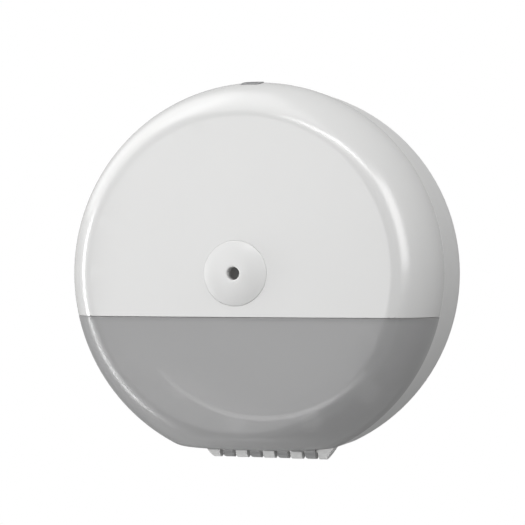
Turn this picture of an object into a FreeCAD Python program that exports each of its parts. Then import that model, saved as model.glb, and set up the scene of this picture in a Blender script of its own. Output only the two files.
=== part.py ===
import FreeCAD, Part
import math
import os
import re

import Sketcher
from FreeCAD import Placement, Rotation, Vector

# A round wall dispenser for a centre-feed toilet roll, in millimetres.
# The origin is the middle of the back wall: X points right, Y into the wall and Z up,
# so the front faces -Y. The cover swings forward and down on a pin under the housing.

SIZES = {
    # Shell
    "body_radius": 134.5,
    "back_round_depth": 55.0,
    "back_round_extra": 45.0,
    "split_depth": 100.0,
    "split_gap": 0.4,
    "cover_depth": 51.0,
    "crown_radius": 1300.0,
    "edge_radius": 18.0,
    "side_extra": 9.0,
    "flat_inset": 12.5,
    "flat_blend": 14.0,
    "shell_wall": 2.5,
    "back_wall": 3.0,
    "overrun": 6.0,
    # Lip of the housing inside the rim of the cover
    "lip_clearance": 1.0,
    "lip_wall": 1.6,
    "lip_reach": 3.0,
    "lip_root": 4.0,
    # Screw holes for the wall
    "fixing_span": 116.0,
    "fixing_hole_radius": 3.0,
    "fixing_pad_radius": 8.0,
    "fixing_pad_height": 2.0,
    # Hinge
    "hinge_setback": 33.0,
    "hinge_clearance": 0.3,
    "knuckle_radius": 5.8,
    "knuckle_pitch": 20.6,
    "knuckle_width": 8.6,
    "end_flare": 9.0,
    "end_taper": 3.0,
    "pin_radius": 2.0,
    "pin_press": 0.02,
    "pin_running": 0.06,
    "pin_chamfer": 0.5,
    "arm_width": 7.6,
    "arm_gap": 0.4,
    "arm_thickness": 2.6,
    "arm_lap": 15.0,
    "arm_nose": 11.0,
    "heel_reach": 0.6,
    "heel_width": 3.0,
    "heel_angle": 60.5,
    # Seam between the white cover and the window
    "seam_drop": 30.0,
    "seam_gap": 0.3,
    "ledge_depth": 8.5,
    "ledge_thickness": 2.0,
    "tab_boss_height": 6.0,
    "tab_boss_radius": 3.5,
    "tab_thickness": 2.0,
    "tab_width": 12.0,
    "tab_rise": 15.0,
    "tab_hole_rise": 8.0,
    "tab_near": 36.0,
    "tab_far_inset": 64.5,
    # Roll shelf
    "shelf_inset": 32.5,
    "shelf_wall": 2.5,
    "shelf_half_angle": 48.0,
    "shelf_setback": 7.0,
    "shelf_rim_length": 4.0,
    "shelf_rim_rise": 0.4,
    "shelf_boss_outset": 6.5,
    "shelf_boss_near_angle": 15.0,
    "shelf_boss_far_angle": 40.0,
    "shelf_boss_radius": 4.0,
    "shelf_boss_setback": 42.0,
    "shelf_ear_radius": 8.0,
    "shelf_ear_thickness": 2.5,
    # Nozzle
    "nozzle_radius": 22.0,
    "nozzle_proud": 5.0,
    "nozzle_rim": 0.2,
    "nozzle_seat": 0.8,
    "nozzle_clearance": 0.3,
    "outlet_radius": 4.4,
    "outlet_lip": 2.6,
    "sleeve_radius": 17.5,
    "sleeve_wall": 2.0,
    "sleeve_reach": 12.0,
    "throat_wall": 1.6,
    "throat_fit": 0.1,
    "ring_radius": 23.5,
    "ring_thickness": 5.0,
    "ring_notch": 3.0,
    # Lock
    "button_ahead": 11.0,
    "button_width": 14.0,
    "button_length": 14.0,
    "button_corner": 3.0,
    "button_proud": 0.6,
    "button_clearance": 0.4,
    "button_stem_radius": 3.0,
    "button_stem_length": 2.0,
    "key_radius": 5.0,
    "key_drop": 5.4,
    "key_thickness": 2.4,
    "key_fit": 0.1,
    "key_slot_width": 1.4,
    "key_slot_length": 4.4,
    "key_slot_depth": 1.8,
    "key_slot_span": 4.6,
    "lock_drop": 30.5,
    "case_floor": 2.0,
    "case_wall": 2.0,
    "case_height": 20.0,
    "case_ear_rise": 13.5,
    "case_ear_thickness": 2.5,
    "case_ear_length": 9.0,
    "lock_screw_span": 40.0,
    "lock_boss_radius": 4.0,
    "slider_width": 22.0,
    "slider_length": 15.0,
    "slider_height": 10.0,
    "slider_room": 6.0,
    "slider_clearance": 0.4,
    "hook_width": 10.0,
    "hook_root": 4.0,
    "hook_arm_rise": 2.0,
    "hook_arm_height": 4.0,
    "hook_height": 13.0,
    "hook_thickness": 3.6,
    "hook_ramp": 2.4,
    "hook_play": 0.4,
    "latch_travel": 4.0,
    # Strike plate in the housing
    "strike_setback": 6.0,
    "strike_width": 32.0,
    "strike_length": 16.0,
    "strike_wall": 1.2,
    "strike_lap": 3.0,
    "strike_drop": 6.5,
    "strike_screw_span": 22.0,
    "strike_screw_setback": 10.0,
    # Spring of the latch
    "spring_radius": 3.7,
    "spring_wire": 0.9,
    "spring_end_gap": 0.25,
    "spring_pocket_radius": 5.0,
    "spring_pocket_depth": 6.6,
    "spring_post_radius": 2.4,
    "spring_post_height": 4.5,
    # Screws
    "screw_head_radius": 3.0,
    "screw_head_height": 2.2,
    "screw_shank_radius": 1.4,
    "screw_pilot_play": 0.05,
    "screw_pass_play": 0.4,
    "screw_slot_width": 0.9,
    "screw_slot_length": 3.6,
    "screw_slot_depth": 1.2,
    "tab_screw_length": 7.0,
    "shelf_screw_length": 12.0,
    "lock_screw_length": 9.0,
    "strike_screw_length": 4.5,
}
SPRING_TURNS = 6
QUARTERS = 4

doc = FreeCAD.newDocument("Dispenser")
sheet = doc.addObject("Spreadsheet::Sheet", "Sizes")
for row, (alias, value) in enumerate(SIZES.items(), start=1):
    sheet.set(f"A{row}", alias.replace("_", " "))
    sheet.set(f"B{row}", str(value))
    sheet.setAlias(f"B{row}", alias)
doc.recompute()


def size(alias):
    """The value of one size, read from the sheet."""
    return float(sheet.get(alias))


def sum_of(text):
    """The value of a plain sum or difference of sizes."""
    total = 0.0
    for sign, alias in re.findall(r"([+-]?)\s*([a-z_]+)", text):
        total += -size(alias) if sign == "-" else size(alias)
    return total


def bound(text):
    """The expression for a sum of sizes: each size's name is tied to its cell."""
    return re.sub(r"[a-z_]+", lambda word: "Sizes." + word[0] if word[0] in SIZES else word[0], text)


# Main levels, as sums of sizes
FACE = "split_depth + cover_depth"
FLAT = "body_radius - flat_inset"
WIDE = "body_radius + overrun"
BOTH_SIDES = (f"-({WIDE})", WIDE)
AHEAD = f"-({FACE} + overrun)"
SIDE_RADIUS = "cover_depth + side_extra"
BACK_RADIUS = "back_round_depth + back_round_extra"

# Helpers for solids
TURNS = {
    "x": Rotation(Vector(0, 1, 0), 90),
    "y": Rotation(Vector(1, 0, 0), -90),
    "z": Rotation(),
}


def block(name, x_span, y_span, z_span):
    """A box between two places on each axis."""
    box = doc.addObject("Part::Box", name)
    for side, axis, (low, high) in zip(("Length", "Width", "Height"), "xyz", (x_span, y_span, z_span)):
        box.setExpression(side, bound(f"({high}) - ({low})"))
        box.setExpression(f"Placement.Base.{axis}", bound(low))
    return box


def rod(name, radius, axis, span, centre):
    """A cylinder along one axis, between two places on it; centre gives the other two axes."""
    cylinder = doc.addObject("Part::Cylinder", name)
    cylinder.Placement = Placement(Vector(), TURNS[axis])
    low, high = span
    cylinder.setExpression("Radius", bound(radius))
    cylinder.setExpression("Height", bound(f"({high}) - ({low})"))
    places = dict(zip("xyz".replace(axis, ""), centre))
    places[axis] = low
    for letter, place in places.items():
        cylinder.setExpression(f"Placement.Base.{letter}", bound(place))
    return cylinder


def fuse(name, parts):
    union = doc.addObject("Part::MultiFuse", name)
    union.Shapes = parts
    return union


def cut(name, base, tools):
    difference = doc.addObject("Part::Cut", name)
    difference.Base = base
    difference.Tool = tools[0] if len(tools) == 1 else fuse(name + "_tools", tools)
    return difference


def common(name, first, second):
    overlap = doc.addObject("Part::Common", name)
    overlap.Base = first
    overlap.Tool = second
    return overlap


def group(name, parts):
    compound = doc.addObject("Part::Compound", name)
    compound.Links = parts
    return compound


def new_sketch(body, role):
    """A sketch on one of the body's own origin planes."""
    sketch = body.newObject("Sketcher::SketchObject", body.Name + "_sketch")
    plane = next(feature for feature in body.Origin.OriginFeatures if feature.Role == role)
    sketch.AttachmentSupport = (plane, [""])
    sketch.MapMode = "FlatFace"
    return sketch


def tie(sketch, kind, *where, to, near=1.0):
    """One driving constraint, bound to the sheet; near is the value that the drawing starts from."""
    index = sketch.addConstraint(Sketcher.Constraint(kind, *where, near))
    sketch.renameConstraint(index, f"{kind}{index}")
    sketch.setExpression(f"Constraints.{kind}{index}", bound(to))


def draw_outline(sketch, corners):
    """A closed outline of straight sides through corners given as pairs of sums."""
    count = len(corners)
    ring = [Vector(math.cos(math.tau * i / count), math.sin(math.tau * i / count)) for i in range(count)]
    for i in range(count):
        sketch.addGeometry(Part.LineSegment(ring[i], ring[(i + 1) % count]), False)
    for i, (across, along) in enumerate(corners):
        sketch.addConstraint(Sketcher.Constraint("Coincident", i, 2, (i + 1) % count, 1))
        tie(sketch, "DistanceX", -1, 1, i, 1, to=across)
        tie(sketch, "DistanceY", -1, 1, i, 1, to=along)


def spin(body, sketch):
    """Turn the body's sketch once round the Y axis."""
    turned = body.newObject("PartDesign::Revolution", body.Name + "_turned")
    turned.Profile = sketch
    turned.ReferenceAxis = (sketch, ["V_Axis"])
    turned.Angle = 360
    return body


def turned_body(name, corners):
    """A body turned from an outline of (radius, place on Y) pairs."""
    body = doc.addObject("PartDesign::Body", name)
    sketch = new_sketch(body, "XY_Plane")
    draw_outline(sketch, corners)
    return spin(body, sketch)


def padded_body(name, role, corners, length, start_axis, start):
    """A body padded from an outline, then shifted along one axis to where it starts."""
    body = doc.addObject("PartDesign::Body", name)
    sketch = new_sketch(body, role)
    draw_outline(sketch, corners)
    pad = body.newObject("PartDesign::Pad", name + "_pad")
    pad.Profile = sketch
    pad.setExpression("Length", bound(length))
    body.setExpression(f"Placement.Base.{start_axis}", bound(start))
    return body


def flat_bottomed(name, base, inset):
    """Cut the base flat at the bottom, inset from the outer shell, and blend the cut's two sides."""
    below = block(name + "_below", BOTH_SIDES, (AHEAD, WIDE), (f"-({WIDE})", f"-({FLAT} - ({inset}))"))
    trimmed = cut(name + "_trimmed", base, [below])
    doc.recompute()
    flat = min(trimmed.Shape.Faces, key=lambda face: face.CenterOfMass.z)
    picked = []
    for index, edge in enumerate(trimmed.Shape.Edges, start=1):
        sides = trimmed.Shape.ancestorsOfType(edge, Part.Face)
        round_sides = [side for side in sides if not isinstance(side.Surface, Part.Plane)]
        if round_sides and any(side.isSame(flat) for side in sides):
            picked.append(index)
    blended = doc.addObject("Part::Fillet", name)
    blended.Base = trimmed
    radius = size("flat_blend") - sum_of(inset)
    blended.Edges = [(index, radius, radius) for index in picked]
    return blended


def cover_round(name, inset):
    """The whole cover as one turned solid, inset from its outer face: dome, edge, side and a short tail."""
    depth = sum_of(inset)
    side_radius = sum_of(SIDE_RADIUS)
    dome = Vector(0, size("crown_radius") - sum_of(FACE))
    side = Vector(size("body_radius") - side_radius, -size("split_depth"))
    # The edge's centre lies on two circles, one round the dome's centre and one round the side's
    reach = size("crown_radius") - size("edge_radius")
    swing = side_radius - size("edge_radius")
    span = side.sub(dome)
    along = (reach ** 2 - swing ** 2 + span.Length ** 2) / (2 * span.Length)
    across = math.sqrt(reach ** 2 - along ** 2)
    ahead = Vector(span).normalize()
    edge = dome + ahead * along + Vector(-ahead.y, ahead.x) * across

    def heading(start, end):
        return math.atan2(end.y - start.y, end.x - start.x)

    upright = Vector(0, 0, 1)
    first = heading(dome, edge)
    second = heading(side, edge)
    arcs = (
        (dome, size("crown_radius"), -math.pi / 2, first),
        (edge, size("edge_radius"), first, second),
        (side, side_radius, second, 0.0),
    )
    body = doc.addObject("PartDesign::Body", name)
    sketch = new_sketch(body, "XY_Plane")
    for centre, radius, start, end in arcs:
        circle = Part.Circle(centre, upright, radius - depth)
        sketch.addGeometry(Part.ArcOfCircle(circle, start, end), False)
    rim = Vector(size("body_radius") - depth, -size("split_depth"))
    back = Vector(rim.x, rim.y + size("overrun"))
    middle = Vector(0, back.y)
    crown = Vector(0, depth - sum_of(FACE))
    for start, end in ((rim, back), (back, middle), (middle, crown)):
        sketch.addGeometry(Part.LineSegment(start, end), False)
    sketch.addConstraint([
        Sketcher.Constraint("Tangent", 0, 2, 1, 1),
        Sketcher.Constraint("Tangent", 1, 2, 2, 1),
        Sketcher.Constraint("Tangent", 2, 2, 3, 1),
        Sketcher.Constraint("Coincident", 3, 2, 4, 1),
        Sketcher.Constraint("Coincident", 4, 2, 5, 1),
        Sketcher.Constraint("Coincident", 5, 2, 0, 1),
        Sketcher.Constraint("Vertical", 3),
        Sketcher.Constraint("Horizontal", 4),
        Sketcher.Constraint("PointOnObject", 0, 1, -2),
        Sketcher.Constraint("PointOnObject", 0, 3, -2),
        Sketcher.Constraint("PointOnObject", 4, 2, -2),
    ])
    tie(sketch, "DistanceY", -1, 1, 0, 3, to=f"crown_radius - ({FACE})", near=dome.y)
    tie(sketch, "DistanceX", -1, 1, 2, 3, to=f"body_radius - ({SIDE_RADIUS})", near=side.x)
    tie(sketch, "DistanceY", -1, 1, 2, 3, to="-split_depth", near=side.y)
    tie(sketch, "DistanceY", -1, 1, 3, 2, to="overrun - split_depth", near=back.y)
    for index, radius in enumerate(("crown_radius", "edge_radius", SIDE_RADIUS)):
        tie(sketch, "Radius", index, to=f"{radius} - ({inset})", near=sum_of(radius) - depth)
    return spin(body, sketch)


def housing_round(name, inset, front, back):
    """The housing as one turned solid, inset from its outer face: a straight side, rounded in to the wall."""
    radius = sum_of(BACK_RADIUS) - sum_of(inset)
    centre = Vector(size("body_radius") - sum_of(BACK_RADIUS), -size("back_round_depth"))
    end = math.asin((sum_of(back) - centre.y) / radius)
    rim = Vector(centre.x + radius, sum_of(front))
    shoulder = Vector(rim.x, centre.y)
    corner = Vector(centre.x + radius * math.cos(end), sum_of(back))
    face_middle = Vector(0, rim.y)
    back_middle = Vector(0, corner.y)
    body = doc.addObject("PartDesign::Body", name)
    sketch = new_sketch(body, "XY_Plane")
    sides = ((face_middle, rim), (rim, shoulder), (corner, back_middle), (back_middle, face_middle))
    for start, stop in sides:
        sketch.addGeometry(Part.LineSegment(start, stop), False)
    sketch.addGeometry(Part.ArcOfCircle(Part.Circle(centre, Vector(0, 0, 1), radius), 0.0, end), False)
    sketch.addConstraint([
        Sketcher.Constraint("Coincident", 0, 2, 1, 1),
        Sketcher.Constraint("Tangent", 1, 2, 4, 1),
        Sketcher.Constraint("Coincident", 4, 2, 2, 1),
        Sketcher.Constraint("Coincident", 2, 2, 3, 1),
        Sketcher.Constraint("Coincident", 3, 2, 0, 1),
        Sketcher.Constraint("Horizontal", 0),
        Sketcher.Constraint("Vertical", 1),
        Sketcher.Constraint("Horizontal", 2),
        Sketcher.Constraint("PointOnObject", 0, 1, -2),
        Sketcher.Constraint("PointOnObject", 2, 2, -2),
    ])
    tie(sketch, "DistanceY", -1, 1, 0, 1, to=front, near=rim.y)
    tie(sketch, "DistanceY", -1, 1, 2, 2, to=back, near=corner.y)
    tie(sketch, "DistanceX", -1, 1, 4, 3, to=f"body_radius - ({BACK_RADIUS})", near=centre.x)
    tie(sketch, "DistanceY", -1, 1, 4, 3, to="-back_round_depth", near=centre.y)
    tie(sketch, "Radius", 4, to=f"{BACK_RADIUS} - ({inset})", near=radius)
    return spin(body, sketch)


def screw(name, axis, seat, drive, centre, length):
    """A pan-head screw: its head sits on seat and its shank points along drive, 1 or -1."""
    def span(start, end):
        return (f"({seat}) + ({start})", f"({seat}) + ({end})")

    head_span = span("-screw_head_height", "0") if drive > 0 else span("0", "screw_head_height")
    shank_span = span("0", length) if drive > 0 else span(f"-({length})", "0")
    slot_span = (span("-screw_head_height - overrun", "screw_slot_depth - screw_head_height") if drive > 0
                 else span("screw_head_height - screw_slot_depth", "screw_head_height + overrun"))
    head = rod(name + "_head", "screw_head_radius", axis, head_span, centre)
    shank = rod(name + "_shank", "screw_shank_radius", axis, shank_span, centre)
    others = "xyz".replace(axis, "")
    slots = []
    for long_axis in others:
        spans = {axis: slot_span}
        for letter, place in zip(others, centre):
            half = "screw_slot_length / 2" if letter == long_axis else "screw_slot_width / 2"
            spans[letter] = (f"({place}) - {half}", f"({place}) + {half}")
        slots.append(block(f"{name}_slot_{long_axis}", spans["x"], spans["y"], spans["z"]))
    return cut(name, fuse(name + "_blank", [head, shank]), slots)


# Forms that the shells are cut from
COVER_REAR = "-(split_depth + split_gap)"

cover_outer = flat_bottomed("cover_outer_form", cover_round("cover_outer", "0"), "0")
cover_inner = flat_bottomed("cover_inner_form", cover_round("cover_inner", "shell_wall"), "shell_wall")
cover_skin = cut("cover_skin", cover_outer, [cover_inner])
cover_room = block("cover_room", BOTH_SIDES, (AHEAD, COVER_REAR), BOTH_SIDES)
cover_solid = common("cover_solid", cover_outer, cover_room)

housing_outer = flat_bottomed("housing_outer_form", housing_round(
    "housing_outer", "0", "-split_depth", "0"), "0")
housing_inner = flat_bottomed("housing_inner_form", housing_round(
    "housing_inner", "shell_wall", "-split_depth - overrun", "-back_wall"), "shell_wall")

# Hinge knuckles: five on the housing, four on the window, on one pin
HINGE_Y = "-(split_depth - hinge_setback)"
HINGE_Z = f"-({FLAT} + knuckle_radius - arm_gap + hinge_clearance)"
PIN_PLACE = (HINGE_Y, HINGE_Z)
PIN_SPAN_HALF = "2 * knuckle_pitch + knuckle_width / 2"
FLOOR_MIDDLE = f"-({FLAT} - shell_wall / 2)"
knuckle_bar = fuse("knuckle_bar", [
    rod("knuckle_round", "knuckle_radius", "x", BOTH_SIDES, PIN_PLACE),
    block("knuckle_web", BOTH_SIDES, (f"{HINGE_Y} - knuckle_radius", f"{HINGE_Y} + knuckle_radius"),
          (HINGE_Z, FLOOR_MIDDLE)),
])
knuckle_depth = (f"{HINGE_Y} - knuckle_radius - overrun", f"{HINGE_Y} + knuckle_radius + overrun")
knuckle_height = (f"{HINGE_Z} - knuckle_radius - overrun", f"{HINGE_Z} + knuckle_radius + overrun")
housing_slabs = []
for place in (-1, 0, 1):
    middle = f"{place} * knuckle_pitch"
    housing_slabs.append(block(f"housing_slab_{place + 1}",
                               (f"{middle} - knuckle_width / 2", f"{middle} + knuckle_width / 2"),
                               knuckle_depth, knuckle_height))
for hand, side in (("left", -1), ("right", 1)):
    inner = f"{side} * (2 * knuckle_pitch - knuckle_width / 2)"
    housing_slabs.append(padded_body(f"housing_end_{hand}", "XZ_Plane", [
        (inner, f"{HINGE_Z} - knuckle_radius"),
        (f"{side} * ({PIN_SPAN_HALF} - end_taper)", f"{HINGE_Z} - knuckle_radius"),
        (f"{side} * ({PIN_SPAN_HALF} - end_taper + end_flare)", FLOOR_MIDDLE),
        (inner, FLOOR_MIDDLE),
    ], "2 * (knuckle_radius + overrun)", "y", f"{HINGE_Y} + knuckle_radius + overrun"))
housing_knuckles = common("housing_knuckles", knuckle_bar, fuse("housing_slabs", housing_slabs))

# Rear housing: tub with lip, wall holes, shelf bosses, strike bosses and knuckles
SHELF_ANGLES = ("shelf_boss_near_angle", "shelf_boss_far_angle")
SHELF_PLACES = [(side, angle) for angle in SHELF_ANGLES for side in (-1, 1)]
SHELF_RADIUS = "body_radius - shelf_inset"
SHELF_FRONT = "-(split_depth - shelf_setback)"
SHELF_EAR_BACK = "-(split_depth - shelf_boss_setback)"
BOSS_CIRCLE = f"({SHELF_RADIUS} + shelf_wall + shelf_boss_outset)"


def shelf_place(side, angle):
    """Where a shelf boss stands, as sums for X and Z."""
    return (f"{side} * {BOSS_CIRCLE} * sin({angle})", f"-{BOSS_CIRCLE} * cos({angle})")


STRIKE_LEVEL = "body_radius - strike_drop"
STRIKE_TOP = f"{STRIKE_LEVEL} + strike_wall"
STRIKE_BACK = "-(split_depth - strike_setback)"
STRIKE_FRONT = f"{STRIKE_BACK} - strike_wall"
STRIKE_SCREW_Y = f"{STRIKE_BACK} + strike_screw_setback"
lip_span = ("-(split_depth + lip_reach)", "-(split_depth - lip_root)")
lip_outer = flat_bottomed("lip_outer_form", rod(
    "lip_outer", "body_radius - shell_wall - lip_clearance", "y", lip_span, ("0", "0")),
    "shell_wall + lip_clearance")
lip_inner = flat_bottomed("lip_inner_form", rod(
    "lip_inner", "body_radius - shell_wall - lip_clearance - lip_wall", "y",
    ("-(split_depth + lip_reach + overrun)", "-(split_depth - lip_root - overrun)"), ("0", "0")),
    "shell_wall + lip_clearance + lip_wall")
lip_foot = common("lip_foot", housing_outer, block(
    "lip_foot_band", BOTH_SIDES, ("-split_depth", "-(split_depth - lip_root)"), BOTH_SIDES))
lip = cut("lip", fuse("lip_blank", [lip_outer, lip_foot]), [lip_inner])
housing_parts = [cut("housing_skin", housing_outer, [housing_inner]), lip, housing_knuckles]
housing_holes = [rod("pin_press_bore", "pin_radius + pin_press", "x", BOTH_SIDES, PIN_PLACE)]
for column in (-1, 1):
    for line in (-1, 1):
        spot = (f"{column} * fixing_span / 2", f"{line} * fixing_span / 2")
        tag = f"{column + 1}{line + 1}"
        housing_parts.append(rod(f"fixing_pad_{tag}", "fixing_pad_radius", "y",
                                 ("-(back_wall + fixing_pad_height)", "-back_wall / 2"), spot))
        housing_holes.append(rod(f"fixing_hole_{tag}", "fixing_hole_radius", "y",
                                 ("-(back_wall + fixing_pad_height + overrun)", "overrun"), spot))
for number, (side, angle) in enumerate(SHELF_PLACES):
    spot = shelf_place(side, angle)
    housing_parts.append(rod(f"shelf_boss_{number}", "shelf_boss_radius", "y",
                             (SHELF_EAR_BACK, "-back_wall / 2"), spot))
    pilot_span = (f"{SHELF_EAR_BACK} - overrun", f"{SHELF_EAR_BACK} + shelf_screw_length + overrun")
    housing_holes.append(rod(f"shelf_pilot_{number}", "screw_shank_radius + screw_pilot_play", "y",
                             pilot_span, spot))
strike_bosses = []
for side in (-1, 1):
    spot = (f"{side} * strike_screw_span / 2", STRIKE_SCREW_Y)
    strike_bosses.append(rod(f"strike_boss_{side + 1}", "lock_boss_radius", "z",
                             (STRIKE_TOP, WIDE), spot))
    housing_holes.append(rod(f"strike_pilot_{side + 1}", "screw_shank_radius + screw_pilot_play", "z",
                             (f"{STRIKE_TOP} - overrun", f"{STRIKE_TOP} + strike_screw_length - strike_wall"),
                             spot))
housing_parts.append(common("strike_bosses", fuse("strike_boss_pair", strike_bosses), housing_outer))
rear_housing = cut("rear_housing", fuse("housing_blank", housing_parts), housing_holes)

# Hinge pin, pressed into the housing's knuckles
pin_bar = rod("pin_bar", "pin_radius", "x",
              (f"-({PIN_SPAN_HALF} - end_taper)", f"{PIN_SPAN_HALF} - end_taper"), PIN_PLACE)
doc.recompute()
hinge_pin = doc.addObject("Part::Chamfer", "hinge_pin")
hinge_pin.Base = pin_bar
hinge_pin.Edges = [(index, size("pin_chamfer"), size("pin_chamfer"))
                   for index, edge in enumerate(pin_bar.Shape.Edges, start=1) if len(edge.Vertexes) == 1]


# Roll shelf: half-round trough with a rolled front rim, on four ears
def trough(name, inner, outer, y_span):
    """A curved wall round the bottom of the roll, between two radii."""
    margin = (f"{y_span[0]} - overrun", f"{y_span[1]} + overrun")
    ring = cut(name + "_ring", rod(name + "_out", outer, "y", y_span, ("0", "0")),
               [rod(name + "_in", inner, "y", margin, ("0", "0"))])
    low = "-body_radius"
    reach = "body_radius * tan(shelf_half_angle)"
    wedge = padded_body(name + "_wedge", "XZ_Plane", [
        ("0", "0"), (f"-({reach})", low), (reach, low),
    ], f"{FACE} + overrun", "y", "overrun")
    return common(name, ring, wedge)


shelf_parts = [
    trough("shelf_trough", SHELF_RADIUS, f"{SHELF_RADIUS} + shelf_wall", (SHELF_FRONT, "-back_wall")),
    trough("shelf_rim", f"{SHELF_RADIUS} - shelf_rim_rise", f"{SHELF_RADIUS} + shelf_wall + shelf_rim_rise",
           (SHELF_FRONT, f"{SHELF_FRONT} + shelf_rim_length")),
]
shelf_holes = []
shelf_screw_list = []
for number, (side, angle) in enumerate(SHELF_PLACES):
    spot = shelf_place(side, angle)
    ear_front = f"{SHELF_EAR_BACK} - shelf_ear_thickness"
    shelf_parts.append(rod(f"shelf_ear_{number}", "shelf_ear_radius", "y", (ear_front, SHELF_EAR_BACK), spot))
    shelf_holes.append(rod(f"shelf_hole_{number}", "screw_shank_radius + screw_pass_play", "y",
                           (f"{ear_front} - overrun", f"{SHELF_EAR_BACK} + overrun"), spot))
    shelf_screw_list.append(screw(f"shelf_screw_{number}", "y", ear_front, 1, spot, "shelf_screw_length"))
roll_shelf = cut("roll_shelf", fuse("shelf_blank", shelf_parts), shelf_holes)
shelf_screws = group("shelf_screws", shelf_screw_list)

# Nozzle in the middle of the front: domed outlet with a sleeve through the cover
NOZZLE_TIP = f"-({FACE} + nozzle_proud)"
SEAT = f"-({FACE} - nozzle_seat)"
SLEEVE_END = f"-({FACE} - sleeve_reach)"
THROAT_FRONT = f"-({FACE} - shell_wall)"
LIP_EDGE = "(outlet_radius + outlet_lip)"
DOME_RISE = "(nozzle_proud - nozzle_rim)"
DOME_BACK = f"(({DOME_RISE} ^ 2 + nozzle_radius ^ 2 - {LIP_EDGE} ^ 2) / (2 * {DOME_RISE}))"
nozzle_blank = turned_body("nozzle_blank", [
    ("outlet_radius", NOZZLE_TIP),
    ("nozzle_radius", NOZZLE_TIP),
    ("nozzle_radius", SEAT),
    ("sleeve_radius", SEAT),
    ("sleeve_radius", SLEEVE_END),
    ("sleeve_radius - sleeve_wall", SLEEVE_END),
    ("sleeve_radius - sleeve_wall", THROAT_FRONT),
    ("outlet_radius", THROAT_FRONT),
])
nozzle_ball = doc.addObject("Part::Sphere", "nozzle_ball")
nozzle_ball.setExpression("Radius", bound(f"sqrt({DOME_BACK} ^ 2 + {LIP_EDGE} ^ 2)"))
nozzle_ball.setExpression("Placement.Base.y", bound(f"{NOZZLE_TIP} + {DOME_BACK}"))
nozzle = common("nozzle", nozzle_blank, nozzle_ball)

# Tapered throat behind the outlet, and the ring that holds the sleeve from inside
nozzle_throat = turned_body("nozzle_throat", [
    ("outlet_radius", THROAT_FRONT),
    ("sleeve_radius - sleeve_wall - throat_fit", THROAT_FRONT),
    ("sleeve_radius - sleeve_wall - throat_fit", SLEEVE_END),
    ("sleeve_radius - sleeve_wall - throat_fit - throat_wall", SLEEVE_END),
])
RING_FRONT = f"-({FACE} - shell_wall - nozzle_clearance)"
ring_blank = turned_body("ring_blank", [
    ("sleeve_radius + throat_fit", RING_FRONT),
    ("ring_radius", RING_FRONT),
    ("ring_radius", f"{RING_FRONT} + ring_thickness"),
    ("sleeve_radius + throat_fit", f"{RING_FRONT} + ring_thickness"),
])
ring_back = (f"{RING_FRONT} + ring_thickness / 2", f"{RING_FRONT} + ring_thickness + overrun")
ring_notches = [
    block("ring_notch_x", BOTH_SIDES, ring_back, ("-ring_notch / 2", "ring_notch / 2")),
    block("ring_notch_z", ("-ring_notch / 2", "ring_notch / 2"), ring_back, BOTH_SIDES),
]
nozzle_ring = cut("nozzle_ring", ring_blank, ring_notches)

# Levels of the lock under the top of the cover
LOCK_Y = "-(split_depth + button_ahead)"
LOCK_LEVEL = "body_radius - lock_drop"
CASE_FLOOR = f"{LOCK_LEVEL} + case_floor"
SLIDER_LOW = f"{CASE_FLOOR} + slider_room"
SLIDER_TOP = f"{SLIDER_LOW} + slider_height"
EAR_LOW = f"{LOCK_LEVEL} + case_ear_rise"
EAR_TOP = f"{EAR_LOW} + case_ear_thickness"


def about(middle, half):
    """The two places half a width to each side of a middle."""
    return (f"{middle} - ({half})", f"{middle} + ({half})")


def rounded_post(name, grow, z_span):
    """The button's footprint, grown all round, between two levels."""
    post = block(name + "_square", about("0", f"button_width / 2 + {grow}"),
                 about(LOCK_Y, f"button_length / 2 + {grow}"), z_span)
    doc.recompute()
    rounded = doc.addObject("Part::Fillet", name)
    rounded.Base = post
    corner = size("button_corner")
    rounded.Edges = [(index, corner, corner) for index, edge in enumerate(post.Shape.Edges, start=1)
                     if edge.BoundBox.ZLength > edge.BoundBox.DiagonalLength / 2]
    return rounded


# Upper cover: the white part of the shell, with bosses for the lock and for the window's tabs
SEAM_HALF = "seam_gap / 2"
TAB_BACK = f"-({FACE} - shell_wall - tab_boss_height)"
TAB_PLACES = [(side, reach) for reach in ("tab_near", "(body_radius - tab_far_inset)") for side in (-1, 1)]
above_seam = block("above_seam", BOTH_SIDES, (AHEAD, COVER_REAR),
                   (f"-seam_drop + {SEAM_HALF}", WIDE))
cover_bosses = []
cover_holes = [
    rod("nozzle_hole", "sleeve_radius + nozzle_clearance", "y",
        (AHEAD, f"-({FACE} - shell_wall - overrun)"), ("0", "0")),
    rod("nozzle_recess", "nozzle_radius + nozzle_clearance", "y", (AHEAD, SEAT), ("0", "0")),
    rounded_post("button_hole", "button_clearance", (SLIDER_TOP, WIDE)),
]
for side in (-1, 1):
    spot = (f"{side} * lock_screw_span / 2", LOCK_Y)
    cover_bosses.append(rod(f"lock_boss_{side + 1}", "lock_boss_radius", "z", (EAR_TOP, WIDE), spot))
    cover_holes.append(rod(f"lock_pilot_{side + 1}", "screw_shank_radius + screw_pilot_play", "z",
                           (f"{EAR_TOP} - overrun", f"{EAR_LOW} + lock_screw_length"), spot))
for number, (side, reach) in enumerate(TAB_PLACES):
    spot = (f"{side} * {reach}", "tab_hole_rise - seam_drop")
    cover_bosses.append(rod(f"tab_boss_{number}", "tab_boss_radius", "y",
                            (AHEAD, TAB_BACK), spot))
    cover_holes.append(rod(f"tab_pilot_{number}", "screw_shank_radius + screw_pilot_play", "y",
                           (f"{TAB_BACK} + tab_thickness - tab_screw_length", f"{TAB_BACK} + overrun"), spot))
bosses_inside = common("bosses_inside", fuse("cover_boss_set", cover_bosses), cover_solid)
white_skin = common("white_skin", cover_skin, above_seam)
upper_cover = cut("upper_cover", fuse("upper_cover_blank", [white_skin, bosses_inside]), cover_holes)

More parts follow.
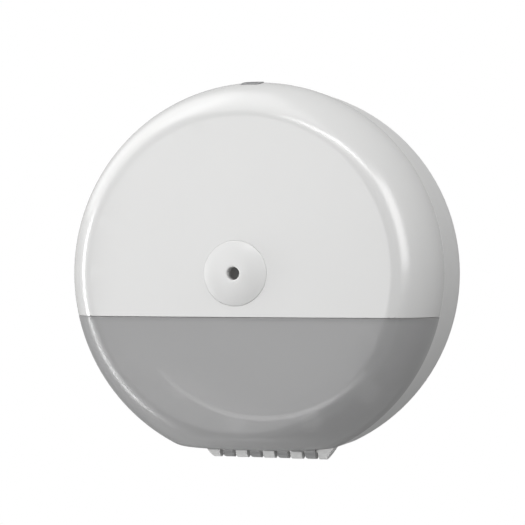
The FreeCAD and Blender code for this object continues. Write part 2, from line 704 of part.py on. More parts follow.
# Level window: the smoke-grey part of the shell, with a ledge, four tabs and four hinge arms
SEAM_LOW = f"-seam_drop - {SEAM_HALF}"
below_seam = block("below_seam", BOTH_SIDES, (AHEAD, COVER_REAR), (f"-({WIDE})", SEAM_LOW))
ledge_back = "-(split_depth + lip_reach + lip_clearance)"
ledge_ring = cut("ledge_ring", cover_inner, [cover_round("ledge_inner", "shell_wall + ledge_depth")])
ledge = common("ledge", ledge_ring, block("ledge_band", BOTH_SIDES, (AHEAD, ledge_back),
                                          (f"{SEAM_LOW} - ledge_thickness", SEAM_LOW)))
window_parts = [common("smoke_skin", cover_skin, below_seam), ledge]
window_holes = [rod("pin_running_bore", "pin_radius + pin_running", "x", BOTH_SIDES, PIN_PLACE)]
window_screw_list = []
for number, (side, reach) in enumerate(TAB_PLACES):
    middle = f"{side} * {reach}"
    spot = (middle, "tab_hole_rise - seam_drop")
    tab_span = (TAB_BACK, f"{TAB_BACK} + tab_thickness")
    window_parts.append(block(f"tab_{number}", about(middle, "tab_width / 2"), tab_span,
                              (f"{SEAM_LOW} - ledge_thickness", "tab_rise - seam_drop")))
    window_holes.append(rod(f"tab_hole_{number}", "screw_shank_radius + screw_pass_play", "y",
                            (f"{TAB_BACK} - overrun", f"{TAB_BACK} + tab_thickness + overrun"), spot))
    window_screw_list.append(screw(f"window_screw_{number}", "y", f"{TAB_BACK} + tab_thickness", -1, spot,
                                   "tab_screw_length"))
ARM_TOP = f"-({FLAT} + arm_gap)"
ARM_LOW = f"{ARM_TOP} - arm_thickness"
ARM_SPAN = "2 * (knuckle_pitch * 2)"
arm_bar = padded_body("arm_bar", "YZ_Plane", [
    (HINGE_Y, ARM_LOW),
    (HINGE_Y, ARM_TOP),
    (COVER_REAR, ARM_TOP),
    (COVER_REAR, FLOOR_MIDDLE),
    (f"{COVER_REAR} - arm_lap", FLOOR_MIDDLE),
    (f"{COVER_REAR} - arm_lap", f"-({FLAT})"),
    (f"{COVER_REAR} - arm_lap + arm_nose", ARM_LOW),
], ARM_SPAN, "x", f"-({ARM_SPAN}) / 2")


def heel_corner(reach, aside):
    """A corner of the heel that stops the open cover, turned down and back from the pin."""
    return (f"{HINGE_Y} + ({reach}) * cos(heel_angle) + ({aside}) * sin(heel_angle)",
            f"{HINGE_Z} - ({reach}) * sin(heel_angle) + ({aside}) * cos(heel_angle)")


HEEL_END = "knuckle_radius - arm_gap + heel_reach"
heel_bar = padded_body("heel_bar", "YZ_Plane", [
    heel_corner("pin_radius", "-heel_width / 2"),
    heel_corner(HEEL_END, "-heel_width / 2"),
    heel_corner(HEEL_END, "heel_width / 2"),
    heel_corner("pin_radius", "heel_width / 2"),
], ARM_SPAN, "x", f"-({ARM_SPAN}) / 2")
arm_round = rod("arm_round", "knuckle_radius - arm_gap", "x", BOTH_SIDES, PIN_PLACE)
arm_slabs = []
for number, place in enumerate((-3, -1, 1, 3)):
    arm_slabs.append(block(f"arm_slab_{number}", about(f"{place} * knuckle_pitch / 2", "arm_width / 2"),
                           (AHEAD, WIDE), (f"-({WIDE})", "0")))
window_parts.append(common("window_arms", fuse("arm_blank", [arm_bar, heel_bar, arm_round]),
                           fuse("arm_slabs", arm_slabs)))
level_window = cut("level_window", fuse("window_blank", window_parts), window_holes)
window_screws = group("window_screws", window_screw_list)

# Lock case: open box with two ears, screwed under the top of the cover
CASE_HALF_WIDTH = "slider_width / 2 + slider_clearance"
CASE_HALF_LENGTH = "slider_length / 2 + slider_clearance"
CASE_TOP = f"{LOCK_LEVEL} + case_height"
HOOK_ARM_LOW = f"{SLIDER_LOW} + hook_arm_rise"
case_blank = fuse("case_blank", [
    block("case_box", about("0", f"{CASE_HALF_WIDTH} + case_wall"),
          about(LOCK_Y, f"{CASE_HALF_LENGTH} + case_wall"), (LOCK_LEVEL, CASE_TOP)),
    block("case_ears", about("0", "lock_screw_span / 2 + lock_boss_radius"),
          about(LOCK_Y, "case_ear_length / 2"), (EAR_LOW, EAR_TOP)),
])
case_holes = [
    block("case_cavity", about("0", CASE_HALF_WIDTH), about(LOCK_Y, CASE_HALF_LENGTH),
          (CASE_FLOOR, f"{CASE_TOP} + overrun")),
    block("case_slot", about("0", "hook_width / 2 + slider_clearance"),
          (LOCK_Y, f"{LOCK_Y} + {CASE_HALF_LENGTH} + case_wall + overrun"),
          (f"{HOOK_ARM_LOW} - latch_travel - slider_clearance", f"{CASE_TOP} + overrun")),
]
lock_screw_list = []
for side in (-1, 1):
    spot = (f"{side} * lock_screw_span / 2", LOCK_Y)
    case_holes.append(rod(f"case_hole_{side + 1}", "screw_shank_radius + screw_pass_play", "z",
                          (f"{EAR_LOW} - overrun", f"{EAR_TOP} + overrun"), spot))
    lock_screw_list.append(screw(f"lock_screw_{side + 1}", "z", EAR_LOW, 1, spot, "lock_screw_length"))
spring_post = rod("spring_post", "spring_post_radius", "z",
                  (f"{LOCK_LEVEL} + case_floor / 2", f"{CASE_FLOOR} + spring_post_height"), ("0", LOCK_Y))
lock_case = fuse("lock_case", [cut("case_shell", case_blank, case_holes), spring_post])
lock_screws = group("lock_screws", lock_screw_list)

# Latch slider: block in the case with an arm and a ramped hook behind the strike plate
HOOK_FRONT = f"{STRIKE_BACK} + hook_play"
HOOK_BACK = f"{HOOK_FRONT} + hook_thickness"
HOOK_TOP = f"{HOOK_ARM_LOW} + hook_height"
SLIDER_BACK = f"{LOCK_Y} + slider_length / 2"
hook = padded_body("hook", "YZ_Plane", [
    (f"{SLIDER_BACK} - hook_root", HOOK_ARM_LOW),
    (HOOK_BACK, HOOK_ARM_LOW),
    (HOOK_BACK, f"{HOOK_TOP} - hook_ramp"),
    (f"{HOOK_BACK} - hook_ramp", HOOK_TOP),
    (HOOK_FRONT, HOOK_TOP),
    (HOOK_FRONT, f"{HOOK_ARM_LOW} + hook_arm_height"),
    (f"{SLIDER_BACK} - hook_root", f"{HOOK_ARM_LOW} + hook_arm_height"),
], "hook_width", "x", "-hook_width / 2")
slider_block = block("slider_block", about("0", "slider_width / 2"), about(LOCK_Y, "slider_length / 2"),
                     (SLIDER_LOW, SLIDER_TOP))
SPRING_TOP = f"{SLIDER_LOW} + spring_pocket_depth"
slider_holes = [
    rod("spring_pocket", "spring_pocket_radius", "z", (f"{SLIDER_LOW} - overrun", SPRING_TOP), ("0", LOCK_Y)),
    rod("stem_hole", "button_stem_radius + key_fit", "z",
        (f"{SLIDER_TOP} - button_stem_length - key_fit", f"{SLIDER_TOP} + overrun"), ("0", LOCK_Y)),
]
latch_slider = cut("latch_slider", fuse("slider_blank", [slider_block, hook]), slider_holes)

# Lock button: flush with the shoulder of the cover, with a stem into the slider
KEY_FLOOR = "body_radius - key_drop"
KEY_TOP = f"{KEY_FLOOR} + key_thickness"
button_post = rounded_post("button_post", "0", (SLIDER_TOP, WIDE))
button_cap = common("button_cap", button_post, cover_round("button_form", "-button_proud"))
button_stem = rod("button_stem", "button_stem_radius", "z",
                  (f"{SLIDER_TOP} - button_stem_length", f"{SLIDER_TOP} + button_stem_length"), ("0", LOCK_Y))
key_recess = rod("key_recess", "key_radius + key_fit", "z", (KEY_FLOOR, WIDE), ("0", LOCK_Y))
lock_button = cut("lock_button", fuse("button_blank", [button_cap, button_stem]), [key_recess])

# Key plate: disc in the button with two slots for a key
key_disc = rod("key_disc", "key_radius", "z", (KEY_FLOOR, KEY_TOP), ("0", LOCK_Y))
key_slots = [block(f"key_slot_{side + 1}", about(f"{side} * key_slot_span / 2", "key_slot_width / 2"),
                   about(LOCK_Y, "key_slot_length / 2"),
                   (f"{KEY_TOP} - key_slot_depth", WIDE)) for side in (-1, 1)]
key_plate = cut("key_plate", key_disc, key_slots)

# Strike plate: bent steel strip under the top of the housing, behind which the hook stands
STRIKE_LOW = f"{HOOK_TOP} - strike_lap"
strike_blank = fuse("strike_blank", [
    block("strike_base", about("0", "strike_width / 2"),
          (STRIKE_FRONT, f"{STRIKE_FRONT} + strike_length"), (STRIKE_LEVEL, STRIKE_TOP)),
    block("strike_flange", about("0", "strike_width / 2"),
          (STRIKE_FRONT, STRIKE_BACK), (STRIKE_LOW, STRIKE_TOP)),
])
strike_holes = []
strike_screw_list = []
for side in (-1, 1):
    spot = (f"{side} * strike_screw_span / 2", STRIKE_SCREW_Y)
    strike_holes.append(rod(f"strike_hole_{side + 1}", "screw_shank_radius + screw_pass_play", "z",
                            (f"{STRIKE_LEVEL} - overrun", f"{STRIKE_TOP} + overrun"), spot))
    strike_screw_list.append(screw(f"strike_screw_{side + 1}", "z", STRIKE_LEVEL, 1, spot,
                                   "strike_screw_length"))
strike_plate = cut("strike_plate", strike_blank, strike_holes)
strike_screws = group("strike_screws", strike_screw_list)


# Latch spring: one unbroken round wire, wound as arcs that meet in line
def arc_between(start, lean, end):
    """An arc from start to end that leaves start along lean."""
    chord = end - start
    half = chord.Length / 2
    tangent = half ** 2 * 2 / chord.dot(lean)
    corner = start + lean * tangent
    middle = start + chord * 0.5
    outward = corner - middle
    sag = half * math.tan(math.acos(half / tangent) / 2)
    return Part.Arc(start, middle + outward.normalize() * sag, end).toShape()


def spring_wire(radius, low, high, turns):
    """The spring's centre line: each quarter turn is two arcs with one tangent where they meet."""
    rise = (high - low) / turns

    def at(quarter):
        angle = math.tau * quarter / QUARTERS
        point = Vector(radius * math.cos(angle), radius * math.sin(angle), low + rise * quarter / QUARTERS)
        lean = Vector(-radius * math.sin(angle), radius * math.cos(angle), rise / math.tau)
        return point, lean.normalize()

    edges = []
    for quarter in range(turns * QUARTERS):
        start, first = at(quarter)
        end, last = at(quarter + 1)
        chord = end - start
        both = first + last
        spread = 2 * (1 - first.dot(last))
        length = (math.sqrt(chord.dot(both) ** 2 + spread * chord.dot(chord)) - chord.dot(both)) / spread
        joint = (start + first * length + end - last * length) * 0.5
        edges.append(arc_between(start, first, joint))
        edges.append(arc_between(joint, ((end - last * length) - joint).normalize(), end))
    return Part.Wire(edges)


wire_radius = size("spring_wire") / 2
spring_low = sum_of(CASE_FLOOR) + size("spring_end_gap") + wire_radius
spring_high = sum_of(SPRING_TOP) - size("spring_end_gap") - wire_radius
spring_path = spring_wire(size("spring_radius"), spring_low, spring_high, SPRING_TURNS)
first_edge = spring_path.Edges[0]
start_point = first_edge.valueAt(first_edge.FirstParameter)
start_lean = first_edge.tangentAt(first_edge.FirstParameter)
wire_section = Part.Wire(Part.makeCircle(wire_radius, start_point, start_lean))
latch_spring = doc.addObject("Part::Feature", "latch_spring")
latch_spring.Shape = spring_path.makePipeShell([wire_section], True)
latch_spring.Placement = Placement(Vector(0, -sum_of("split_depth + button_ahead"), 0), Rotation())
print("gap between spring turns:", round((spring_high - spring_low) / SPRING_TURNS - 2 * wire_radius, 2))

PIECES = [
    rear_housing, roll_shelf, shelf_screws, hinge_pin, strike_plate, strike_screws,
    upper_cover, level_window, window_screws, nozzle, nozzle_throat, nozzle_ring,
    lock_case, lock_screws, latch_spring, lock_button, key_plate, latch_slider,
]

doc.recompute()
faults = [item.Name for item in doc.Objects if {"Invalid", "Error"} & set(item.State)]
faults += [piece.Label for piece in PIECES if piece.Shape.isNull() or not piece.Shape.isValid()]
if faults:
    raise RuntimeError(f"these did not build: {faults}")
os.makedirs("parts", exist_ok=True)
for piece in PIECES:
    solids = piece.Shape.Solids
    print(piece.Label, len(solids), "solid(s)", round(sum(solid.Volume for solid in solids)), "cubic mm")
    piece.Shape.exportStep(f"parts/{piece.Label}.step")
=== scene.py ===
import math

import bmesh
import bpy
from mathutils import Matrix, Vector


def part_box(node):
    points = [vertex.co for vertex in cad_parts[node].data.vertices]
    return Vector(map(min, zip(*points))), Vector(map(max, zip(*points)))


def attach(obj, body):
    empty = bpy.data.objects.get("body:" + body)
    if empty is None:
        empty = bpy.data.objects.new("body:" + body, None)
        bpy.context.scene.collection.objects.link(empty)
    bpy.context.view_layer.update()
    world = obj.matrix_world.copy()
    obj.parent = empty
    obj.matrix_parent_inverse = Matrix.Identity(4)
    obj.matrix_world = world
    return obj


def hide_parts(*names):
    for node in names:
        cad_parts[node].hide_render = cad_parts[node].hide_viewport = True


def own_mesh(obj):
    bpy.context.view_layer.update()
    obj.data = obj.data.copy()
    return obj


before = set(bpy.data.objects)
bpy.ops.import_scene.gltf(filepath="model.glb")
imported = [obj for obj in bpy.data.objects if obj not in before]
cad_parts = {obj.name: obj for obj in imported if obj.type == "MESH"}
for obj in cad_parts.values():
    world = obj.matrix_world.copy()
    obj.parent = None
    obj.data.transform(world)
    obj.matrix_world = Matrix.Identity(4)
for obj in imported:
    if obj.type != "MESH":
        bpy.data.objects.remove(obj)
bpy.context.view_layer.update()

# Rear housing: a round tub with a flat bottom and five hinge knuckles, injection moulded in white ABS.
# Its back has four holes for wall screws. Its outside is satin, straight from the mould, and every
# sharp edge is broken.
HOUSING_WHITE = (0.64, 0.64, 0.635, 1.0)
HOUSING_EDGE = 0.0002
MERGE_DISTANCE = 1e-6
FLAT_ANGLE = math.radians(0.05)
SHARP_ANGLE = math.radians(30)
FLOW_SCALE = 14.0
FLOW_DETAIL = 4.0
SMEAR_SCALE = 45.0
SMEAR_DETAIL = 6.0
GRAIN_DETAIL = 2.0
GRAIN_HEIGHT = 0.0002
NOISE_MIDDLE = 0.5


def skin_group():
    """A shader group for moulded plastic: faint mottling, uneven gloss and a very fine grain."""
    group = bpy.data.node_groups.new("moulded_skin", "ShaderNodeTree")
    for name, kind in (("Colour", "NodeSocketColor"), ("Mottle", "NodeSocketFloat"),
                       ("Gloss", "NodeSocketFloat"), ("Gloss Spread", "NodeSocketFloat"),
                       ("Grain Scale", "NodeSocketFloat"), ("Grain Depth", "NodeSocketFloat")):
        group.interface.new_socket(name, in_out="INPUT", socket_type=kind)
    for name, kind in (("Colour", "NodeSocketColor"), ("Roughness", "NodeSocketFloat"),
                       ("Normal", "NodeSocketVector")):
        group.interface.new_socket(name, in_out="OUTPUT", socket_type=kind)
    nodes, link = group.nodes, group.links.new
    given = nodes.new("NodeGroupInput")
    result = nodes.new("NodeGroupOutput")
    place = nodes.new("ShaderNodeTexCoord")
    flow = nodes.new("ShaderNodeTexNoise")
    flow.inputs["Scale"].default_value = FLOW_SCALE
    flow.inputs["Detail"].default_value = FLOW_DETAIL
    link(place.outputs["Object"], flow.inputs["Vector"])
    flow_centred = nodes.new("ShaderNodeMath")
    flow_centred.operation = "SUBTRACT"
    flow_centred.inputs[1].default_value = NOISE_MIDDLE
    link(flow.outputs["Fac"], flow_centred.inputs[0])
    shade = nodes.new("ShaderNodeMath")
    shade.operation = "MULTIPLY_ADD"
    shade.inputs[2].default_value = 1.0
    link(flow_centred.outputs[0], shade.inputs[0])
    link(given.outputs["Mottle"], shade.inputs[1])
    tint = nodes.new("ShaderNodeVectorMath")
    tint.operation = "SCALE"
    link(given.outputs["Colour"], tint.inputs[0])
    link(shade.outputs[0], tint.inputs["Scale"])
    link(tint.outputs[0], result.inputs["Colour"])
    smear = nodes.new("ShaderNodeTexNoise")
    smear.inputs["Scale"].default_value = SMEAR_SCALE
    smear.inputs["Detail"].default_value = SMEAR_DETAIL
    link(place.outputs["Object"], smear.inputs["Vector"])
    smear_centred = nodes.new("ShaderNodeMath")
    smear_centred.operation = "SUBTRACT"
    smear_centred.inputs[1].default_value = NOISE_MIDDLE
    link(smear.outputs["Fac"], smear_centred.inputs[0])
    gloss = nodes.new("ShaderNodeMath")
    gloss.operation = "MULTIPLY_ADD"
    link(smear_centred.outputs[0], gloss.inputs[0])
    link(given.outputs["Gloss Spread"], gloss.inputs[1])
    link(given.outputs["Gloss"], gloss.inputs[2])
    link(gloss.outputs[0], result.inputs["Roughness"])
    grain = nodes.new("ShaderNodeTexNoise")
    grain.inputs["Detail"].default_value = GRAIN_DETAIL
    link(place.outputs["Object"], grain.inputs["Vector"])
    link(given.outputs["Grain Scale"], grain.inputs["Scale"])
    bump = nodes.new("ShaderNodeBump")
    bump.inputs["Distance"].default_value = GRAIN_HEIGHT
    link(given.outputs["Grain Depth"], bump.inputs["Strength"])
    link(grain.outputs["Fac"], bump.inputs["Height"])
    link(bump.outputs["Normal"], result.inputs["Normal"])
    return group


moulded_skin = skin_group()


def moulded(name, colour, gloss, spread=0.06, mottle=0.03, grain_scale=900.0, grain_depth=0.05):
    """A moulded plastic finish; the caller may set more on its shader."""
    material = bpy.data.materials.new(name)
    material.use_nodes = True
    nodes = material.node_tree.nodes
    shader = nodes["Principled BSDF"]
    skin = nodes.new("ShaderNodeGroup")
    skin.node_tree = moulded_skin
    skin.inputs["Colour"].default_value = colour
    skin.inputs["Mottle"].default_value = mottle
    skin.inputs["Gloss"].default_value = gloss
    skin.inputs["Gloss Spread"].default_value = spread
    skin.inputs["Grain Scale"].default_value = grain_scale
    skin.inputs["Grain Depth"].default_value = grain_depth
    link = material.node_tree.links.new
    link(skin.outputs["Colour"], shader.inputs["Base Color"])
    link(skin.outputs["Roughness"], shader.inputs["Roughness"])
    link(skin.outputs["Normal"], shader.inputs["Normal"])
    return material


def new_piece(name, mesh):
    """An object at the origin that shows one mesh."""
    piece = bpy.data.objects.new(name, mesh)
    bpy.context.scene.collection.objects.link(piece)
    return piece


def settle(piece):
    """Turn what the piece's modifiers make into its own plain mesh."""
    made = bpy.data.meshes.new_from_object(piece.evaluated_get(bpy.context.evaluated_depsgraph_get()))
    piece.modifiers.clear()
    piece.data = made


def broken_edges(name, node, edge, material):
    """A merged copy of a CAD node whose sharp edges are broken, as a mould leaves them."""
    mesh = bpy.data.meshes.new(name)
    build = bmesh.new()
    build.from_mesh(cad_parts[node].data)
    bmesh.ops.remove_doubles(build, verts=build.verts, dist=MERGE_DISTANCE)
    bmesh.ops.dissolve_limit(build, angle_limit=FLAT_ANGLE, verts=build.verts, edges=build.edges)
    for face in build.faces:
        face.smooth = True
        face.material_index = 0
    build.to_mesh(mesh)
    build.free()
    if "custom_normal" in mesh.attributes:
        mesh.attributes.remove(mesh.attributes["custom_normal"])
    mesh.materials.append(material)
    piece = new_piece(name, mesh)
    rounding = piece.modifiers.new("rounding", "BEVEL")
    rounding.limit_method = "ANGLE"
    rounding.angle_limit = SHARP_ANGLE
    rounding.width = edge
    rounding.segments = 1
    rounding.use_clamp_overlap = False
    # The solid's own normals keep curved faces smooth, and turn evenly across each broken edge
    shading = piece.modifiers.new("shading", "DATA_TRANSFER")
    shading.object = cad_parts[node]
    shading.use_loop_data = True
    shading.data_types_loops = {"CUSTOM_NORMAL"}
    shading.loop_mapping = "POLYINTERP_NEAREST"
    settle(piece)
    return piece


housing_white = moulded("housing_white", HOUSING_WHITE, gloss=0.36)
housing_tub = broken_edges("housing_tub", "rear_housing", HOUSING_EDGE, housing_white)
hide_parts("rear_housing")
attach(housing_tub, "housing")

# Roll shelf: a half-round trough that carries the paper roll, moulded in plain white polypropylene.
# Its front rim is thickened, and four ears hold it to bosses of the housing.
INNER_WHITE = (0.90, 0.90, 0.89, 1.0)
SHELF_EDGE = 0.00015

inner_white = moulded("inner_white", INNER_WHITE, gloss=0.5)
shelf_trough = broken_edges("shelf_trough", "roll_shelf", SHELF_EDGE, inner_white)
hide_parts("roll_shelf")
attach(shelf_trough, "housing")

# Shelf screws: four zinc-plated pan-head screws for plastic, cold headed with a cross recess.
# They are driven through the shelf's ears into the housing's bosses.
ZINC = (0.60, 0.61, 0.60, 1.0)
SCREW_HEAD_RADIUS = 0.003
SCREW_HEAD_HEIGHT = 0.0022
SCREW_SHANK_RADIUS = 0.0014
RECESS_LENGTH = 0.0036
RECESS_WIDTH = 0.0009
RECESS_DEPTH = 0.0012
HEAD_SIDES = 40
HEAD_RINGS = 6
HEAD_FALL_SHARE = 0.5
SHANK_SIDES = 24
TIP_SHARE = 0.4
SHELF_SCREW_LENGTH = 0.012
SHELF_SCREW_CIRCLE = 0.111
SHELF_SCREW_ANGLES = (15, 40)
SHELF_EAR_FRONT = -0.0605
HEAD_TO_FRONT = (math.pi / 2, 0, 0)


def plated(name, colour, gloss, brushed):
    """A metal finish: the skin's unevenness over bare or plated steel."""
    material = moulded(name, colour, gloss, spread=0.12, mottle=0.12, grain_scale=brushed, grain_depth=0.08)
    material.node_tree.nodes["Principled BSDF"].inputs["Metallic"].default_value = 1.0
    return material


def screw_tree():
    """A node tree that puts a pan-head screw with a cross recess on each point of a mesh."""
    tree = bpy.data.node_groups.new("pan_head_screws", "GeometryNodeTree")
    tree.interface.new_socket("Geometry", in_out="INPUT", socket_type="NodeSocketGeometry")
    for name in ("Head Radius", "Head Height", "Shank Radius", "Shank Length",
                 "Recess Length", "Recess Width", "Recess Depth"):
        tree.interface.new_socket(name, in_out="INPUT", socket_type="NodeSocketFloat")
    tree.interface.new_socket("Turn", in_out="INPUT", socket_type="NodeSocketVector")
    tree.interface.new_socket("Finish", in_out="INPUT", socket_type="NodeSocketMaterial")
    tree.interface.new_socket("Geometry", in_out="OUTPUT", socket_type="NodeSocketGeometry")
    nodes, link = tree.nodes, tree.links.new
    given = nodes.new("NodeGroupInput")
    result = nodes.new("NodeGroupOutput")

    def maths(operation, first, second):
        node = nodes.new("ShaderNodeMath")
        node.operation = operation
        for socket, value in zip(node.inputs, (first, second)):
            if isinstance(value, float):
                socket.default_value = value
            else:
                link(value, socket)
        return node.outputs[0]

    def upright(height):
        node = nodes.new("ShaderNodeCombineXYZ")
        link(height, node.inputs["Z"])
        return node.outputs[0]

    def moved(geometry, offset):
        node = nodes.new("GeometryNodeTransform")
        link(geometry, node.inputs["Geometry"])
        link(offset, node.inputs["Translation"])
        return node.outputs[0]

    # The head: a disc whose top falls away towards its rim
    head = nodes.new("GeometryNodeMeshCylinder")
    head.inputs["Vertices"].default_value = HEAD_SIDES
    head.inputs["Fill Segments"].default_value = HEAD_RINGS
    link(given.outputs["Head Radius"], head.inputs["Radius"])
    link(given.outputs["Head Height"], head.inputs["Depth"])
    spot = nodes.new("GeometryNodeInputPosition")
    parts = nodes.new("ShaderNodeSeparateXYZ")
    link(spot.outputs[0], parts.inputs[0])
    across = maths("ADD", maths("MULTIPLY", parts.outputs["X"], parts.outputs["X"]),
                   maths("MULTIPLY", parts.outputs["Y"], parts.outputs["Y"]))
    rim_square = maths("MULTIPLY", given.outputs["Head Radius"], given.outputs["Head Radius"])
    share = maths("DIVIDE", across, rim_square)
    rim_fall = maths("MULTIPLY", given.outputs["Head Height"], -HEAD_FALL_SHARE)
    fall = maths("MULTIPLY", maths("MULTIPLY", share, share), rim_fall)
    on_top = maths("GREATER_THAN", parts.outputs["Z"], 0.0)
    domed = nodes.new("GeometryNodeSetPosition")
    link(head.outputs["Mesh"], domed.inputs["Geometry"])
    link(upright(maths("MULTIPLY", fall, on_top)), domed.inputs["Offset"])
    seated = moved(domed.outputs[0], upright(maths("MULTIPLY", given.outputs["Head Height"], 0.5)))

    # The recess: two crossed bars, each with its lower half in the top of the head
    bars = nodes.new("GeometryNodeJoinGeometry")
    for sides in (("Recess Length", "Recess Width"), ("Recess Width", "Recess Length")):
        bar = nodes.new("GeometryNodeMeshCube")
        bar_size = nodes.new("ShaderNodeCombineXYZ")
        link(given.outputs[sides[0]], bar_size.inputs["X"])
        link(given.outputs[sides[1]], bar_size.inputs["Y"])
        link(maths("MULTIPLY", given.outputs["Recess Depth"], 2.0), bar_size.inputs["Z"])
        link(bar_size.outputs[0], bar.inputs["Size"])
        link(moved(bar.outputs["Mesh"], upright(given.outputs["Head Height"])), bars.inputs[0])
    recessed = nodes.new("GeometryNodeMeshBoolean")
    recessed.operation = "DIFFERENCE"
    recessed.solver = "EXACT"
    link(seated, recessed.inputs["Mesh 1"])
    link(bars.outputs[0], recessed.inputs["Mesh 2"])

    # The shank, with a tapered end as long as its radius
    stem_length = maths("SUBTRACT", given.outputs["Shank Length"], given.outputs["Shank Radius"])
    stem = nodes.new("GeometryNodeMeshCylinder")
    stem.inputs["Vertices"].default_value = SHANK_SIDES
    link(given.outputs["Shank Radius"], stem.inputs["Radius"])
    link(stem_length, stem.inputs["Depth"])
    stem_down = moved(stem.outputs["Mesh"], upright(maths("MULTIPLY", stem_length, -0.5)))
    tip = nodes.new("GeometryNodeMeshCone")
    tip.inputs["Vertices"].default_value = SHANK_SIDES
    link(maths("MULTIPLY", given.outputs["Shank Radius"], TIP_SHARE), tip.inputs["Radius Bottom"])
    link(given.outputs["Shank Radius"], tip.inputs["Radius Top"])
    link(given.outputs["Shank Radius"], tip.inputs["Depth"])
    tip_down = moved(tip.outputs["Mesh"], upright(maths("MULTIPLY", given.outputs["Shank Length"], -1.0)))

    whole = nodes.new("GeometryNodeJoinGeometry")
    for geometry in (recessed.outputs["Mesh"], stem_down, tip_down):
        link(geometry, whole.inputs[0])
    placed = nodes.new("GeometryNodeInstanceOnPoints")
    link(given.outputs["Geometry"], placed.inputs["Points"])
    link(whole.outputs[0], placed.inputs["Instance"])
    link(given.outputs["Turn"], placed.inputs["Rotation"])
    real = nodes.new("GeometryNodeRealizeInstances")
    link(placed.outputs[0], real.inputs[0])
    finished = nodes.new("GeometryNodeSetMaterial")
    link(real.outputs[0], finished.inputs["Geometry"])
    link(given.outputs["Finish"], finished.inputs["Material"])
    link(finished.outputs[0], result.inputs[0])
    return tree


pan_head_screws = screw_tree()
zinc = plated("zinc_screws", ZINC, gloss=0.34, brushed=700.0)


def screws(name, node, body, seats, turn, length):
    """The screws of one node: each stands on a seat, with its head turned as given."""
    points = bpy.data.meshes.new(name)
    points.from_pydata(seats, [], [])
    piece = new_piece(name, points)
    maker = piece.modifiers.new("screws", "NODES")
    maker.node_group = pan_head_screws
    given = {
        "Head Radius": SCREW_HEAD_RADIUS,
        "Head Height": SCREW_HEAD_HEIGHT,
        "Shank Radius": SCREW_SHANK_RADIUS,
        "Shank Length": length,
        "Recess Length": RECESS_LENGTH,
        "Recess Width": RECESS_WIDTH,
        "Recess Depth": RECESS_DEPTH,
        "Turn": turn,
        "Finish": zinc,
    }
    for socket in pan_head_screws.interface.items_tree:
        if socket.in_out == "INPUT" and socket.name in given:
            maker[socket.identifier] = given[socket.name]
    settle(piece)
    piece.data.shade_smooth()
    piece.data.set_sharp_from_angle(angle=SHARP_ANGLE)
    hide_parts(node)
    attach(piece, body)


shelf_seats = []
for angle in SHELF_SCREW_ANGLES:
    for side in (-1, 1):
        lean = math.radians(side * angle)
        across = SHELF_SCREW_CIRCLE * math.sin(lean)
        down = -SHELF_SCREW_CIRCLE * math.cos(lean)
        shelf_seats.append((across, SHELF_EAR_FRONT, down))
screws("shelf_screw_set", "shelf_screws", "housing", shelf_seats, HEAD_TO_FRONT, SHELF_SCREW_LENGTH)

# Hinge pin: a ground steel rod with chamfered ends, pressed into the housing's five knuckles.
# The window's four arms turn on it.
STEEL = (0.62, 0.62, 0.61, 1.0)
PIN_EDGE = 0.0001

steel = plated("steel", STEEL, gloss=0.28, brushed=500.0)
hinge_rod = broken_edges("hinge_rod", "hinge_pin", PIN_EDGE, steel)
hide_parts("hinge_pin")
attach(hinge_rod, "housing")

# Strike plate: a strip of steel, punched and bent, under the top of the housing.
# The latch's hook stands behind its flange, and two screws hold it up.
STRIKE_EDGE = 0.00015
STRIKE_SEAT = 0.128
STRIKE_SCREW_Y = -0.084
STRIKE_SCREW_X = 0.011
STRIKE_SCREW_LENGTH = 0.0045
HEAD_DOWN = (math.pi, 0, 0)

strike_strip = broken_edges("strike_strip", "strike_plate", STRIKE_EDGE, steel)
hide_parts("strike_plate")
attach(strike_strip, "housing")
screws("strike_screw_pair", "strike_screws", "housing",
       [(side * STRIKE_SCREW_X, STRIKE_SCREW_Y, STRIKE_SEAT) for side in (-1, 1)],
       HEAD_DOWN, STRIKE_SCREW_LENGTH)

# Upper cover: the white part of the domed front, moulded in ABS with a polished outside.
# It carries the nozzle and the lock, and four screws hold the window under it.
COVER_WHITE = (0.59, 0.59, 0.586, 1.0)
COVER_EDGE = 0.0002
POLISH = 1.0

cover_white = moulded("cover_white", COVER_WHITE, gloss=0.24, spread=0.04, grain_depth=0.012)
cover_white.node_tree.nodes["Principled BSDF"].inputs["Specular IOR Level"].default_value = POLISH
cover_dome = broken_edges("cover_dome", "upper_cover", COVER_EDGE, cover_white)
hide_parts("upper_cover")
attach(cover_dome, "cover")

# Level window: the smoke-grey lower part of the front, moulded in clear tinted plastic.
# Its four arms hang on the hinge pin, and its four tabs are screwed to the upper cover.
SMOKE_GREY = (0.33, 0.33, 0.332, 1.0)
SMOKE_FACING = 0.54
SMOKE_SLANTED = 0.95
SMOKE_INWARD = 0.0
WINDOW_EDGE = 0.0002
TAB_SCREW_LENGTH = 0.007
TAB_SCREW_X = (0.036, 0.070)
TAB_SCREW_Z = -0.022
TAB_BACK = -0.1405
HEAD_TO_BACK = (-math.pi / 2, 0, 0)

smoke_window = moulded("smoke_window", SMOKE_GREY, gloss=0.30, spread=0.03, grain_depth=0.012)
nodes = smoke_window.node_tree.nodes
link = smoke_window.node_tree.links.new
sheet = nodes["Principled BSDF"]
sheet.inputs["Specular IOR Level"].default_value = POLISH
# The tint thickens where the sheet is seen on a slant, as it does in any clear tinted plastic
slant = nodes.new("ShaderNodeLayerWeight")
tint = nodes.new("ShaderNodeMapRange")
tint.inputs["To Min"].default_value = SMOKE_FACING
tint.inputs["To Max"].default_value = SMOKE_SLANTED
link(slant.outputs["Facing"], tint.inputs["Value"])
